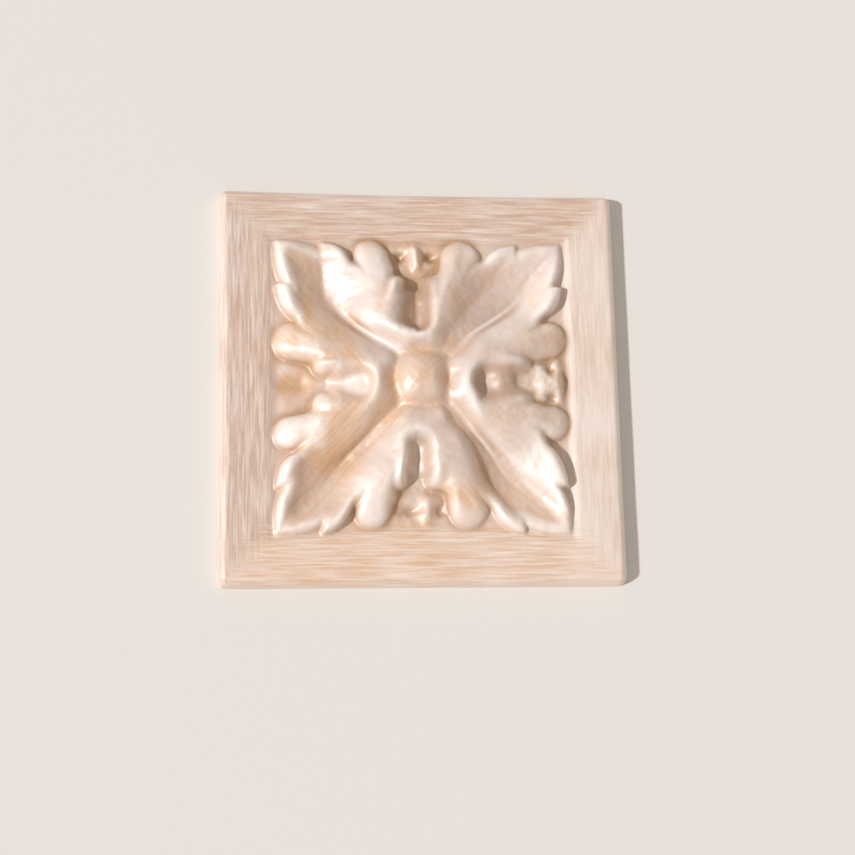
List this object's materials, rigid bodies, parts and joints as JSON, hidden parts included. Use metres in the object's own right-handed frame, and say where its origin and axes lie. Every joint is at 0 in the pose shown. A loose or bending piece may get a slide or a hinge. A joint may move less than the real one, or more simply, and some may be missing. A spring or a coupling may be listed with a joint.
{
  "type": "square rosette",
  "caption": "Square ornament tile: four acanthus leaves run from a cushion boss to the corners inside a flat border, with a flat back for fixing to joinery.",
  "frame": {"origin": "centre of the flat back face, where the rosette is fixed or lies", "axes": "+Z out of the back towards the relief, +X and +Y along the sides of the square, +Y up in the picture"},
  "size_m": [0.0635, 0.0635, 0.0074],
  "materials": {
    "painted_cast": "brushed off-white paint with a pearly sheen over a warm tan glaze, on a cast moulding"
  },
  "bodies": {
    "root": {"rosette_tile": "painted_cast"}
  },
  "joints": []
}
